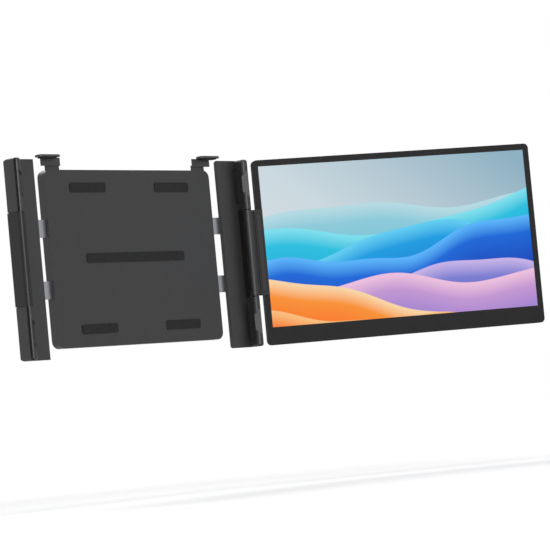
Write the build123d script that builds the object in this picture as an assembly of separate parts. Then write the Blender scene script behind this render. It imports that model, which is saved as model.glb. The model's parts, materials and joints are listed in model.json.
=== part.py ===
"""Laptop screen extender: one folding side monitor on a frame that grips a laptop's lid.

Millimetres. The lid stands upright in this frame: +X along its width, +Y to its back,
+Z up its height. The origin is the middle of the face that the lid's back rests on.
The monitor is built straight out from the hinge axis (u outwards, depth behind the axis,
z up) and is then turned towards the user to its rest angle.
"""
from build123d import *
from math import atan, cos, pi, radians, sin, tan
import os

# ---- the laptop lid that the frame is set to ----
lid_width = 313.2
lid_thickness = 5.5
lid_top = 101.0              # above the origin
pad_clearance = 0.3          # between a pad and the lid

# ---- side columns: a wall beside the lid, a plate behind it, a bead along the front ----
column_width = 8.8           # the wall, and the diameter of the bead and the hinge barrel
column_height = 201.0
column_gap = 1.7             # from the lid's edge to the wall, filled by the grip pad
column_back = 4.6            # rear face of the plate, which the rails lie on
wall_back = 5.6              # rear face of the wall
plate_front = 0.6            # front face of every plate behind the lid; the pads fill this
plate_reach = 27.0           # how far the column's plate runs inwards from the wall
bead_ahead = 8.8             # bead and hinge axis, ahead of the lid's rest face
rear_corner = 5.0            # rounding of the wall's rear top and bottom corners
bead_end = 2.6               # rounding of the bead's and the wall's ends
rear_chamfer = 0.6
groove_width = 2.0           # shadow groove between the wall and the bead
groove_depth = 2.2
groove_ahead = 2.3           # its middle, ahead of the bead's axis
facet_depth = 1.6            # flat cut in the bead, facing the lid and the user
facet_turn = 34.0            # from straight ahead towards the lid
facet_low, facet_high = 66.0, 82.5  # its edge beside the lid
facet_slant = 6.0            # its far edge reaches this much higher and lower

# ---- middle third of the columns ----
knuckle_half = 46.9          # half the height of the middle third
middle_back = 6.4            # its rear face stands out further
middle_lead = 5.0            # slanted ends of its rear face
middle_flange = 14.0         # rear flange, inwards from the outer face
middle_screw_inset = 3.5     # from the flange's inner edge
middle_screw_height = 30.0   # above and below the centre
seam = 0.6                   # shadow line at its ends
seam_depth = 1.0             # of the shadow line

# ---- rubber grip pads on the walls ----
grip_pad_end = 8.0           # short of the column's end and of the middle third
grip_pad_margin = 0.5        # inside the lid's thickness

# ---- hinge ----
rest_turn = 29.4             # how far the monitor is turned towards the user at rest
back_turn = 30.0             # furthest turn away from the user
swing_clearance = 0.5
guard_start = 2.1            # guard's front edge beside the barrel, behind the axis
pin_radius = 1.75
running_clearance = 0.05
pin_in_knuckle = 18.0
pin_in_column = 13.0
pin_end_room = 0.5           # past the pin's end in the knuckle
washer_thickness = 0.7
washer_radius = 4.1
washer_play = 0.1

# ---- sliding arms: rails, racks and a pinion ----
rail_width = 18.0
rail_thickness = 1.6
rail_height = 31.0           # middle of each rail above and below the centre
rail_inner = 24.0            # inner end of the rails
rail_end_gap = 2.2           # from the rails' outer end to the middle cover's flange
rail_screw_inset = 4.0       # from the rails' outer end
rail_screw_shift = 5.0       # above and below the rail's middle
screw_start = 0.8            # skin left in front of a blind screw hole
rail_play = 0.3
travel_in = 10.0
travel_out = 36.0
gear_module = 1.25
pinion_teeth = 14
pressure_angle = 25.0
addendum = 0.8               # in modules
dedendum = 1.1               # in modules
backlash = 0.15
gear_width = 2.3
gear_gap = 0.1               # from the plane of the rails' front faces back to the gears
axle_radius = 2.5
rack_bar = 5.0               # solid bar behind the rack's teeth
rack_ear = 32.0              # length of the ear that is fixed to the rail
rack_ear_inset = 2.0         # from the rail's inner end to the ear
rack_ear_over = 7.0          # how far the ear reaches past the rail's middle
rack_ear_thickness = 1.2
rack_ear_overlap = 1.0       # of the ear and the bar
rack_spare = 4.0             # toothed length past each end of the travel
rack_tooth_sunk = 0.01       # how far the roots of the rack's teeth reach into its bar
flank_steps = 5              # straight pieces in each flank of the pinion's teeth

# ---- housing behind the lid ----
housing_gap = 3.3            # to the column's plate when the arms are pushed in
housing_below_lid = 11.0     # from the lid's top edge down to the housing
housing_back = 12.0
housing_split = 4.2          # where the front and rear shells meet
housing_corner = 8.0
housing_round = 1.5          # rounding round the back
shell_wall = 1.6
axle_boss = 5.0              # radius
rack_rib_half = 60.0         # half length of the ribs that guide the racks
rack_rib_low = 0.5           # from the rack's root up to the ribs
rack_rib_high = 1.5          # from the ribs up to the rack's back
screw_post = 3.8             # radius
guide_length = 18.0          # rail guides, along the rails
guide_wall = 3.2
guide_inset = 4.0            # guide's outer end, inside the housing's side
rail_slot_play = 0.4
hook_guide_height = 14.0
hook_guide_wall = 2.4
hook_guide_back = 6.0
corner_screw_beside = 10.0   # from the hook's stem inwards
corner_screw_below = 30.0    # from the housing's top and bottom
middle_screw_below = 15.0
lid_pad_height = 10.0
lid_pad_length = 50.0
lid_pad_inset = 33.0         # from the housing's side
lid_pad_below = 18.0         # from the housing's top and bottom
lid_pad_middle = 140.0       # length of the middle pad
lid_pad_corner = 2.5

# ---- hooks over the top of the lid ----
hook_inset = 3.2             # from the housing's side inwards to the hook's middle
hook_width = 28.6
hook_cap_thickness = 2.4
hook_front = 8.4             # cap's front edge, ahead of the lid's rest face
hook_sheet = 1.4
hook_stem_width = 18.5
hook_stem_inset = 23.0       # from the housing's side inwards to the stem's inner edge
hook_stem_front = 2.5
hook_travel_down = 1.2       # the cap then stays above the columns
hook_foot_room = 1.3         # under the stem's foot at its lowest
hook_neck_front = 0.5
hook_neck_over = 4.0         # from the housing's top up to the neck
hook_neck_room = 0.8         # beside the neck when the arms are pushed in
hook_pad_width = 20.0
hook_pad_thickness = 1.2
hook_pad_over = 0.4          # how far the pad reaches past the lid's front
hook_cap_corner = 3.6
hook_cap_round = 1.0
hook_play = 0.3

# ---- kickstand in the housing's back ----
stand_width = 73.0
stand_thickness = 2.4
stand_length = 66.0          # from the hinge axis down
stand_foot = 4.0
stand_foot_inset = 6.0
stand_foot_shy = 0.1         # the foot's faces lie inside the leg's
stand_foot_corner = 1.5
stand_window_side = 12.0     # frame left round the leg's window
stand_window_end = 14.0
stand_window_corner = 4.0
stand_sunk = 0.1             # leg's back, inside the housing's back
recess_over_foot = 6.0       # from the housing's foot up to the recess
stand_play = 0.3
stand_finger_room = 6.0
stand_pin_radius = 0.8
stand_wall = 1.3             # housing wall under the folded leg
stand_rim = 3.0              # housing wall round the recess
stand_pin_end = 1.0          # the pin stops this far inside the rim

# ---- monitor ----
screen_width = 309.4
screen_height = 174.0
bezel_left = 6.0
bezel_right = 6.6
bezel_top = 6.9
bezel_chin = 19.1
monitor_out = 12.0           # from the hinge axis to the monitor's near edge
monitor_behind = 4.4         # from the hinge axis back to the monitor's front face
monitor_thickness = 9.2
monitor_top = 99.6
monitor_corner = 5.0
back_edge = 2.0              # rounding round the monitor's back
front_edge = 0.4
bezel_lip = 0.8
smallest_corner = 1.0
bezel_thickness = 1.5
case_wall = 1.6
case_floor = 1.5
panel_border = 2.2
panel_foot = 8.0             # inactive strip of the panel below the screen
panel_thickness = 1.2
sheets_thickness = 0.6
guide_plate_thickness = 1.3
tray_thickness = 0.4
tray_rim = 0.3
fit_play = 0.2

# ---- leaf and bracket that carry the monitor ----
leaf_inner = 8.4             # near edge of the raised leaf
leaf_outer = 17.8            # far edge, just short of the screen
leaf_raise = 1.2             # how far the leaf stands out from the monitor's front
web_thickness = 1.5
web_inner = 2.6
web_in_barrel = 0.5          # how far the web's root reaches into the barrel
web_outer = 9.6
cover_width = 6.0            # stadium-shaped screw cover
cover_end = 4.4              # short of the leaf's ends
cover_depth = 0.6
cover_proud = 0.15
cover_gap = 0.4              # shadow line round the cover
cover_centre = 12.9
leaf_screw_pitch = 32.0
bracket_height = 80.0
bracket_sheet = 1.5
bracket_gap = 0.1            # from the web's edge
bracket_reach = 34.0
bracket_jog = 14.0
bracket_screw_out = 24.0     # from the monitor's near edge
bracket_screw_pitch = 28.0
bracket_screw_depth = 1.4    # into the rear cover's posts

# ---- posts and screws in the monitor's back ----
rear_screw_inset = 30.0      # from the monitor's sides
rear_screw_below = 11.6      # from the monitor's top
rear_screw_above = 16.4      # from the monitor's foot
rear_screw_by_board = 14.0   # between the board and the screw beside it
tray_post_inset = 90.0
tray_post_below = 37.7       # from the screen's top
tray_post_above = 36.3       # from the screen's foot
tray_post_over_board = 51.3  # from the screen's foot
rear_post = 3.0              # radius
board_post = 2.5             # radius
rear_pad_inset = 50.0        # from the monitor's sides
rear_pad_from_edge = 25.0    # from the monitor's top and foot
rear_pad_height = 6.0
rear_pad_thickness = 0.8

# ---- electronics ----
board_width = 74.0
board_height = 34.0
board_tongue = 18.0          # the board runs on past the sockets
board_post_end = 6.0         # from the board's ends to its posts
board_post_side = 5.0
board_thickness = 1.0
chip_gap = 0.2               # from the chips to the tray
chip_sizes = {               # place from the board's middle, width and height
    "scaler": (0.0, 0.0, 14.0, 14.0),
    "coil": (22.0, 4.0, 7.0, 7.0),
    "panel_plug": (-24.0, 10.0, 18.0, 4.0),
    "power_stage": (20.0, 18.0, 9.0, 5.0),
}
board_depth = 9.9
board_over_foot = 4.4        # from the monitor's foot up to the board
socket_depth = 7.3
usb_width, usb_height = 9.0, 3.2
hdmi_width, hdmi_height = 11.2, 3.2
usb_over_board = (26.0, 13.0)  # from the board's foot
hdmi_over_board = 46.0
socket_sunk = 0.3            # the sockets' mouths, inside the monitor's edge
socket_sheet = 0.3
socket_back = 1.0            # closed end
socket_tongue = 0.7          # thickness
socket_tongue_side = 2.0     # room beside the tongue
socket_tongue_sunk = 0.8
socket_room = 0.1            # round the sockets in the wall
speaker_width, speaker_height, speaker_depth = 32.0, 7.0, 4.0
speaker_out = (60.0, 190.0)
button_over_foot = 80.4      # from the monitor's foot up to the lowest button
button_pitch = 14.0
button_length = 8.0
button_width = 2.4
button_stand_out = 0.8
button_travel = 0.4
button_collar = 0.8
button_collar_over = 1.2     # past the button's ends
button_from_back = 1.4       # middle of the buttons, from the inside of the back
button_wall_gap = 0.1
ledge_thickness = 1.0
ledge_inset = 2.2            # from the inside of the wall
ledge_height = 2.6
switch_half = 1.5
switch_side = 1.0
lamp_strip_height = 2.0
speaker_clear = 0.2
speaker_slots = 6
speaker_slot_width = 1.2
speaker_slot_pitch = 4.0
speaker_slot_height = 4.6

# ---- fasteners ----
screw_radius = 1.0
screw_head_radius = 1.9
screw_head = 1.1

# ---- places worked out from the sizes above ----
bead_radius = column_width / 2
wall_inner = lid_width / 2 + column_gap
wall_outer = wall_inner + column_width
axis_x = wall_inner + bead_radius
axis_y = -bead_ahead
column_half = column_height / 2
plate_inner = wall_inner - plate_reach
rail_front = column_back
rail_back = rail_front + rail_thickness
rail_outer = wall_outer - middle_flange - rail_end_gap
pitch_radius = gear_module * pinion_teeth / 2
gear_front = rail_front + gear_gap
gear_back = gear_front + gear_width
rack_root = pitch_radius + dedendum * gear_module
rack_top = rack_root + rack_bar
housing_half = plate_inner - travel_in - housing_gap
housing_top = lid_top - housing_below_lid
barrel_half = knuckle_half - washer_thickness
middle_half = knuckle_half - seam / 2
wall_start = knuckle_half + seam / 2
front_floor = plate_front + shell_wall
rear_floor = housing_back - shell_wall
stand_axis_y = housing_back - stand_thickness / 2 - stand_sunk
recess_floor = stand_axis_y - stand_thickness / 2 - stand_play
recess_half = stand_width / 2 + stand_play
recess_foot = -housing_top + recess_over_foot
stand_top = recess_foot + stand_finger_room + stand_foot + stand_length
recess_top = stand_top + stand_thickness / 2 + stand_play
hook_centre = housing_half - hook_inset
hook_stem_inner = housing_half - hook_stem_inset
hook_stem_foot = rail_height + rail_width / 2 + guide_wall + hook_travel_down + hook_foot_room
hook_neck_foot = housing_top + hook_neck_over
hook_neck_outer = plate_inner - travel_in - hook_neck_room
hook_cap_foot = lid_top + hook_pad_thickness
monitor_front = monitor_behind
monitor_back = monitor_front + monitor_thickness
monitor_far = monitor_out + bezel_left + screen_width + bezel_right
screen_left = monitor_out + bezel_left
screen_right = screen_left + screen_width
screen_top = monitor_top - bezel_top
screen_foot = screen_top - screen_height
monitor_foot = screen_foot - bezel_chin
panel_front = monitor_front + bezel_lip
panel_back = panel_front + panel_thickness
sheets_back = panel_back + sheets_thickness
plate_back = sheets_back + guide_plate_thickness
tray_back = plate_back + tray_thickness
case_front = monitor_front + bezel_thickness
case_inside = monitor_back - case_floor
panel_box = (screen_left - panel_border, screen_right + panel_border,
             screen_foot - panel_foot, screen_top + panel_border)
leaf_front = monitor_front - leaf_raise
web_back = monitor_front + web_thickness
socket_mouth = monitor_far - socket_sunk
cover_height = 2 * (knuckle_half - cover_end)
board_foot = monitor_foot + board_over_foot
usb_heights = [board_foot + over for over in usb_over_board]
hdmi_height_at = board_foot + hdmi_over_board
button_heights = [monitor_foot + button_over_foot + step * button_pitch for step in range(3)]
board_outer = socket_mouth - socket_depth


# ---------------------------------------------------------------- shape helpers
def past(face, direction=1):
    """The end of a cutter, a little past the face that it opens."""
    return face + direction * 1.0


def nearly_half(width):
    """A corner radius just short of half a width, so that a short flat is left."""
    return width / 2 - 0.01


def block(x0, x1, y0, y1, z0, z1):
    """A box between two corners."""
    middle = ((x0 + x1) / 2, (y0 + y1) / 2, (z0 + z1) / 2)
    return Pos(*middle) * Box(x1 - x0, y1 - y0, z1 - z0)


def slab(x0, x1, z0, z1, y0, y1, radius):
    """A plate facing front and back, with rounded corners."""
    outline = RectangleRounded(x1 - x0, z1 - z0, radius)
    plate = Rot(-90, 0, 0) * extrude(outline, y1 - y0)
    return Pos((x0 + x1) / 2, y0, (z0 + z1) / 2) * plate


def prism(points, z0, z1):
    """A plan outline in X and Y, carried up from z0 to z1."""
    outline = make_face(Polyline(*points, close=True))
    return Pos(0, 0, z0) * extrude(outline, z1 - z0)


def side_prism(points, x0, x1):
    """A side outline in Y and Z, carried along X."""
    outline = make_face(Plane.YZ * Polyline(*points, close=True))
    return Pos(x0, 0, 0) * extrude(outline, x1 - x0)


def post(x, y, z0, z1, radius):
    """An upright cylinder."""
    return Pos(x, y, (z0 + z1) / 2) * Cylinder(radius, z1 - z0)


def rod_y(x, z, y0, y1, radius):
    """A cylinder from front to back."""
    return Pos(x, (y0 + y1) / 2, z) * Rot(90, 0, 0) * Cylinder(radius, y1 - y0)


def rod_x(y, z, x0, x1, radius):
    """A cylinder from side to side."""
    return Pos((x0 + x1) / 2, y, z) * Rot(0, 90, 0) * Cylinder(radius, x1 - x0)


def both_sides(shape):
    """The shape and its mirror image across the middle."""
    return [shape, mirror(shape, about=Plane.YZ)]


def screw(x, z, head_face, tip, towards=1):
    """A pan-head screw along Y; its head lies behind head_face, or ahead of it."""
    head = rod_y(x, z, *sorted((head_face, head_face + towards * screw_head)), screw_head_radius)
    shank = rod_y(x, z, *sorted((tip, head_face)), screw_radius)
    return head + shank


def screw_hole(x, z, y0, y1):
    """The hole a screw's shank fills."""
    return rod_y(x, z, min(y0, y1), max(y0, y1), screw_radius)


def turned(shape):
    """Carries a monitor shape from the straight position to its rest angle."""
    return Pos(axis_x, axis_y, 0) * Rot(0, 0, -rest_turn) * shape


# ---------------------------------------------------------------- columns
column_screw_spots = [(rail_outer - rail_screw_inset, side * rail_height + shift)
                      for side in (1, -1) for shift in (-rail_screw_shift, rail_screw_shift)]
middle_screw_spots = [(wall_outer - middle_flange + middle_screw_inset, side * middle_screw_height)
                      for side in (1, -1)]


def facet_cutter(side):
    """Removes the flat with its slanted ends from the right-hand bead."""
    flat = bead_radius - facet_depth
    half = (bead_radius ** 2 - flat ** 2) ** 0.5
    outline = [(-half, facet_low), (-half, facet_high), (half, facet_high + facet_slant),
               (half, facet_low - facet_slant)]
    face = make_face(Plane.XZ * Polyline(*[(x, side * z) for x, z in outline], close=True))
    cutter = Pos(0, -flat, 0) * extrude(face, past(facet_depth), dir=(0, -1, 0))
    return Pos(axis_x, axis_y, 0) * Rot(0, 0, -facet_turn) * cutter


def bead(side, z0, z1):
    """The column's round front, with its outer end rounded over."""
    rod = post(axis_x, axis_y, z0, z1, bead_radius)
    ends = rod.edges().filter_by(GeomType.CIRCLE).sort_by(Axis.Z)
    return fillet(ends[-1] if side > 0 else ends[0], bead_end)


def rear_corners():
    """Side view of the column: a box whose rear top and bottom corners are rounded."""
    front = past(axis_y - bead_radius, -1)
    box = block(plate_inner, wall_outer, front, wall_back, -column_half, column_half)
    edges = box.edges().filter_by(Axis.X).sort_by(Axis.Y)
    return fillet(edges[2:], rear_corner)


def column(with_pin_bore):
    """Right-hand column: plate behind the lid, side wall and bead above and below the middle."""
    wall_plan = [(wall_inner, axis_y), (wall_outer, axis_y), (wall_outer, wall_back - rear_chamfer),
                 (wall_outer - rear_chamfer, wall_back), (wall_inner, wall_back)]
    round_ends = slab(wall_inner, wall_outer, -column_half, column_half, axis_y, wall_back, bead_end)
    shape = block(plate_inner, axis_x, plate_front, column_back, -column_half, column_half)
    shape -= block(wall_inner, axis_x, plate_front, column_back, -wall_start, wall_start)
    groove_y = axis_y - groove_ahead
    for side in (1, -1):
        z0, z1 = sorted((side * wall_start, side * column_half))
        wall = (prism(wall_plan, z0, z1) & round_ends) + bead(side, z0, z1)
        wall -= block(wall_outer - groove_depth, past(wall_outer), groove_y - groove_width / 2,
                      groove_y + groove_width / 2, z0, z1)
        wall -= facet_cutter(side)
        if with_pin_bore:
            bore = sorted((side * knuckle_half, side * (knuckle_half + pin_in_column)))
            wall -= post(axis_x, axis_y, *bore, pin_radius)
        shape += wall
    shape &= rear_corners()
    for x, z in column_screw_spots + middle_screw_spots:
        shape -= screw_hole(x, z, plate_front + screw_start, column_back)
    return shape


def middle_flange_plate():
    """Rear flange of the middle cover, lying on the column's plate."""
    inner = wall_outer - middle_flange
    half = middle_half
    flange = block(inner, wall_inner, column_back, middle_back, -half, half)
    for x, z in middle_screw_spots:
        flange -= screw_hole(x, z, column_back, middle_back)
    return flange


def slanted_ends():
    """Removes the slants at the ends of a middle cover's rear face."""
    start = middle_half - middle_lead
    outline = [(wall_back, middle_half), (middle_back, start), (past(middle_back), start),
               (past(middle_back), past(middle_half)), (wall_back, past(middle_half))]
    cut = side_prism(outline, wall_inner - middle_flange, past(wall_outer))
    return cut + mirror(cut, about=Plane.XY)


def seam_core(front):
    """Closes both seams behind their shadow lines, up to the column's walls."""
    return block(wall_inner + seam_depth, wall_outer - seam_depth, front, wall_back - seam_depth,
                 -wall_start, wall_start)


def right_middle_cover():
    """Guard behind the hinge barrel; its sloping face clears the web at its furthest turn back."""
    turn = radians(back_turn)
    corner_x = axis_x + web_inner * cos(turn) - web_back * sin(turn)
    corner_y = axis_y + web_inner * sin(turn) + web_back * cos(turn) + swing_clearance
    beyond = past(wall_outer)
    swept = [(corner_x - swing_clearance, axis_y), (corner_x - swing_clearance, corner_y),
             (corner_x, corner_y), (beyond, corner_y + (beyond - corner_x) * tan(turn)), (beyond, axis_y)]
    plan = [(wall_inner, axis_y + guard_start), (wall_outer, axis_y + guard_start),
            (wall_outer, middle_back - rear_chamfer), (wall_outer - rear_chamfer, middle_back),
            (wall_inner, middle_back)]
    guard = prism(plan, -middle_half, middle_half) + seam_core(axis_y + guard_start)
    guard -= prism(swept, -wall_start, wall_start)
    guard -= post(axis_x, axis_y, -wall_start, wall_start, bead_radius + swing_clearance)
    return guard + middle_flange_plate() - slanted_ends()


def left_middle_cover():
    """Blank cover on the left: the bead and the wall run through without a groove."""
    plan = [(wall_inner, axis_y), (wall_outer, axis_y), (wall_outer, middle_back - rear_chamfer),
            (wall_outer - rear_chamfer, middle_back), (wall_inner, middle_back)]
    cover = prism(plan, -middle_half, middle_half) + seam_core(axis_y)
    cover += post(axis_x, axis_y, -middle_half, middle_half, bead_radius)
    cover += post(axis_x, axis_y, -wall_start, wall_start, bead_radius - seam_depth)
    return mirror(cover + middle_flange_plate() - slanted_ends(), about=Plane.YZ)


def grip_pads():
    """Rubber strips on the column's wall, against the lid's edge."""
    inner = lid_width / 2 + pad_clearance
    low, high = knuckle_half + grip_pad_end, column_half - grip_pad_end
    front, back = -lid_thickness + grip_pad_margin, -grip_pad_margin
    return [block(inner, wall_inner, front, back, low, high),
            block(inner, wall_inner, front, back, -high, -low)]


def column_screws():
    """Screws through the rails and the middle flange into the column."""
    into_rails = [screw(x, z, rail_back, plate_front + screw_start) for x, z in column_screw_spots]
    into_flange = [screw(x, z, middle_back, plate_front + screw_start) for x, z in middle_screw_spots]
    return into_rails + into_flange


# ---------------------------------------------------------------- rails, racks and pinion
def rails():
    """Two steel strips that carry one arm inside the housing."""
    strips = []
    for side in (1, -1):
        low, high = sorted((side * (rail_height - rail_width / 2), side * (rail_height + rail_width / 2)))
        strip = block(rail_inner, rail_outer, rail_front, rail_back, low, high)
        for x, z in column_screw_spots:
            strip -= screw_hole(x, z, rail_front, rail_back)
        strips.append(strip)
    return strips


def rack():
    """Right-hand rack, above the pinion, with the ear that is fixed to the upper rail."""
    pitch = pi * gear_module
    lean = tan(radians(pressure_angle))
    tip = pitch_radius - addendum * gear_module
    half_at_pitch = pitch / 4 - backlash / 2
    half_at_tip = half_at_pitch - addendum * gear_module * lean
    half_at_root = half_at_pitch + dedendum * gear_module * lean
    start = -travel_out - rack_spare - half_at_root
    ear_start = rail_inner + rack_ear_inset
    end = ear_start + rack_ear
    body = block(start, end, gear_front, gear_back, rack_root, rack_top)
    first = -int((travel_out + rack_spare) / pitch)
    last = int((travel_in + rack_spare) / pitch)
    for index in range(first, last + 1):
        x = (index - 0.5) * pitch
        outline = [(x - half_at_root, rack_root + rack_tooth_sunk), (x - half_at_tip, tip),
                   (x + half_at_tip, tip), (x + half_at_root, rack_root + rack_tooth_sunk)]
        tooth = make_face(Plane.XZ * Polyline(*outline, close=True))
        body += Pos(0, gear_back, 0) * extrude(tooth, gear_width)
    ear = block(ear_start, end, rail_back, rail_back + rack_ear_thickness, rack_top - rack_ear_overlap,
                rail_height + rack_ear_over)
    return body + ear


def pinion():
    """Involute pinion that makes the two arms slide out together."""
    base = pitch_radius * cos(radians(pressure_angle))
    tip = pitch_radius + addendum * gear_module
    root = pitch_radius - dedendum * gear_module
    involute = tan(radians(pressure_angle)) - radians(pressure_angle)
    half_at_pitch = (pi * gear_module / 4 - backlash / 2) / pitch_radius
    radii = [base + (tip - base) * step / flank_steps for step in range(flank_steps + 1)]
    flank = []
    for radius in radii:
        roll = ((radius / base) ** 2 - 1) ** 0.5
        flank.append((radius, half_at_pitch + involute - (roll - atan(roll))))
    points = []
    for tooth in range(pinion_teeth):
        middle = 2 * pi * tooth / pinion_teeth
        points.append((root, middle - flank[0][1]))
        points += [(radius, middle - half) for radius, half in flank]
        points += [(radius, middle + half) for radius, half in reversed(flank)]
        points.append((root, middle + flank[0][1]))
    outline = make_face(Polyline(*[(r * sin(a), r * cos(a)) for r, a in points], close=True))
    gear = Rot(-90, 0, 0) * extrude(outline, gear_width)
    bore = rod_y(0, 0, gear_front, gear_back, axle_radius + running_clearance)
    return Pos(0, gear_front, 0) * gear - bore


def pinion_axle():
    """Steel pin across the housing."""
    return rod_y(0, 0, front_floor, recess_floor - stand_wall, axle_radius)


# ---------------------------------------------------------------- housing
corner_screw_x = hook_stem_inner - corner_screw_beside
corner_screw_z = housing_top - corner_screw_below
housing_screw_spots = [(-corner_screw_x, -corner_screw_z), (corner_screw_x, -corner_screw_z),
                       (-corner_screw_x, corner_screw_z), (corner_screw_x, corner_screw_z),
                       (0.0, housing_top - middle_screw_below)]


def front_shell():
    """Front half of the housing: a plate behind the lid with a low rim."""
    outer = slab(-housing_half, housing_half, -housing_top, housing_top, plate_front, housing_split,
                 housing_corner)
    inset = shell_wall
    room = slab(-housing_half + inset, housing_half - inset, -housing_top + inset, housing_top - inset,
                front_floor, housing_split, housing_corner - inset)
    shell = outer - room
    shell += rod_y(0, 0, front_floor, gear_front - fit_play, axle_boss)
    shell -= rod_y(0, 0, front_floor, gear_front - fit_play, axle_radius)
    rib_end = gear_front - rail_play
    for side in (1, -1):
        low, high = sorted((side * (rack_root + rack_rib_low), side * (rack_top - rack_rib_high)))
        shell += block(-rack_rib_half, rack_rib_half, front_floor, rib_end, low, high)
    stem_low = hook_stem_inner - hook_play
    stem_high = hook_stem_inner + hook_stem_width + hook_play
    slot = block(stem_low, stem_high, front_floor, housing_split, housing_top - 2 * shell_wall,
                 past(housing_top))
    for cut in both_sides(slot):
        shell -= cut
    for x, z in housing_screw_spots:
        shell += rod_y(x, z, front_floor, housing_split, screw_post)
        shell -= screw_hole(x, z, front_floor, housing_split)
    return shell


def rear_shell():
    """Rear half of the housing, with the kickstand's recess and the slots for the rails."""
    outer = slab(-housing_half, housing_half, -housing_top, housing_top, housing_split, housing_back,
                 housing_corner)
    outer = fillet(outer.faces().sort_by(Axis.Y)[-1].edges(), housing_round)
    inset = shell_wall
    room = slab(-housing_half + inset, housing_half - inset, -housing_top + inset, housing_top - inset,
                housing_split, rear_floor, housing_corner - inset)
    shell = outer - room
    half = recess_half + stand_rim
    shell += block(-half, half, recess_floor - stand_wall, rear_floor, recess_foot - stand_rim,
                   recess_top + stand_rim)
    shell -= block(-recess_half, recess_half, recess_floor, past(housing_back), recess_foot, recess_top)
    shell -= rod_x(stand_axis_y, stand_top, -half + stand_pin_end, half - stand_pin_end, stand_pin_radius)
    rib_end = gear_back + rail_play
    for side in (1, -1):
        low, high = sorted((side * (rack_root + rack_rib_low), side * (rack_top - rack_rib_high)))
        shell += block(-rack_rib_half, rack_rib_half, rib_end, rear_floor, low, high)
    shell += rod_y(0, 0, gear_back + fit_play, rear_floor, axle_boss)
    shell -= block(-recess_half, recess_half, recess_floor, past(housing_back), recess_foot, recess_top)
    shell -= rod_y(0, 0, gear_back + fit_play, recess_floor - stand_wall, axle_radius)
    for side in (1, -1):
        half = rail_width / 2 + rail_slot_play
        slot = block(housing_half - 2 * shell_wall, past(housing_half), housing_split,
                     rail_back + rail_slot_play, side * rail_height - half, side * rail_height + half)
        for cut in both_sides(slot):
            shell -= cut
    for x, z in housing_screw_spots:
        shell += rod_y(x, z, housing_split, rear_floor, screw_post)
        shell -= screw_hole(x, z, housing_split, housing_back)
        shell -= rod_y(x, z, housing_back - screw_head, past(housing_back), screw_head_radius)
    return shell


def housing_screws():
    """Screws from the back, their heads sunk flush."""
    return [screw(x, z, housing_back - screw_head, front_floor) for x, z in housing_screw_spots]


def lid_pads():
    """Rubber pads that the back of the lid rests on."""
    half = lid_pad_height / 2
    middle = lid_pad_middle / 2
    pads = [slab(-middle, middle, -half, half, 0, plate_front, lid_pad_corner)]
    outer = housing_half - lid_pad_inset
    for z in (lid_pad_below - housing_top, housing_top - lid_pad_below):
        pad = slab(outer - lid_pad_length, outer, z - half, z + half, 0, plate_front, lid_pad_corner)
        pads += both_sides(pad)
    return pads


def rail_guides():
    """Four slippery blocks that each let a rail through."""
    outer = housing_half - guide_inset
    blocks = []
    for side in (1, -1):
        z0 = side * rail_height - rail_width / 2
        z1 = side * rail_height + rail_width / 2
        guide = block(outer - guide_length, outer, front_floor, rear_floor, z0 - guide_wall, z1 + guide_wall)
        guide -= block(past(outer - guide_length, -1), past(outer), rail_front - rail_play,
                       rail_back + rail_play, z0 - rail_play, z1 + rail_play)
        blocks += both_sides(guide)
    return blocks


def hook_guides():
    """Two blocks that guide the hooks' stems."""
    low = hook_stem_inner - hook_play
    high = hook_stem_inner + hook_stem_width + hook_play
    top = housing_top - housing_corner
    guide = block(low - hook_guide_wall, high + hook_guide_wall, front_floor, hook_guide_back,
                  top - hook_guide_height, top)
    guide -= block(low, high, front_floor, hook_stem_front + hook_sheet + hook_play,
                   past(top - hook_guide_height, -1), past(top))
    return both_sides(guide)


# ---------------------------------------------------------------- hooks
def hook():
    """Right-hand hook: stem in the housing, neck behind the lid, cap over its top edge."""
    low, high = hook_stem_inner, hook_stem_inner + hook_stem_width
    stem_back = hook_stem_front + hook_sheet
    neck_back = hook_neck_front + hook_sheet
    stem = block(low, high, hook_stem_front, stem_back, hook_stem_foot, hook_neck_foot + hook_sheet)
    step = block(low, high, hook_neck_front, stem_back, hook_neck_foot, hook_neck_foot + hook_sheet)
    neck = block(low, hook_neck_outer, hook_neck_front, neck_back, hook_neck_foot, hook_cap_foot)
    return stem + step + neck


def hook_cap():
    """Moulded cap over the lid's top edge."""
    low, high = hook_centre - hook_width / 2, hook_centre + hook_width / 2
    neck_back = hook_neck_front + hook_sheet
    cap = block(low, high, -hook_front, neck_back, hook_cap_foot, hook_cap_foot + hook_cap_thickness)
    cap = fillet(cap.edges().filter_by(Axis.Z), hook_cap_corner)
    return fillet(cap.faces().sort_by(Axis.Z)[-1].edges(), hook_cap_round)


def hook_pad():
    """Rubber under the cap, on the lid's top edge."""
    half = hook_pad_width / 2
    return block(hook_centre - half, hook_centre + half, -lid_thickness - hook_pad_over, hook_neck_front,
                 lid_top, hook_cap_foot)


# ---------------------------------------------------------------- kickstand
def stand_leg():
    """Flat leg with a rounded hinge end."""
    half = stand_width / 2
    low = stand_top - stand_length
    front, back = stand_axis_y - stand_thickness / 2, stand_axis_y + stand_thickness / 2
    leg = block(-half, half, front, back, low, stand_top)
    leg += rod_x(stand_axis_y, stand_top, -half, half, stand_thickness / 2)
    window = block(-half + stand_window_side, half - stand_window_side, front, back,
                   low + stand_window_end, stand_top - stand_window_end)
    leg -= fillet(window.edges().filter_by(Axis.Y), stand_window_corner)
    return leg - rod_x(stand_axis_y, stand_top, -half, half, stand_pin_radius + running_clearance)


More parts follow.
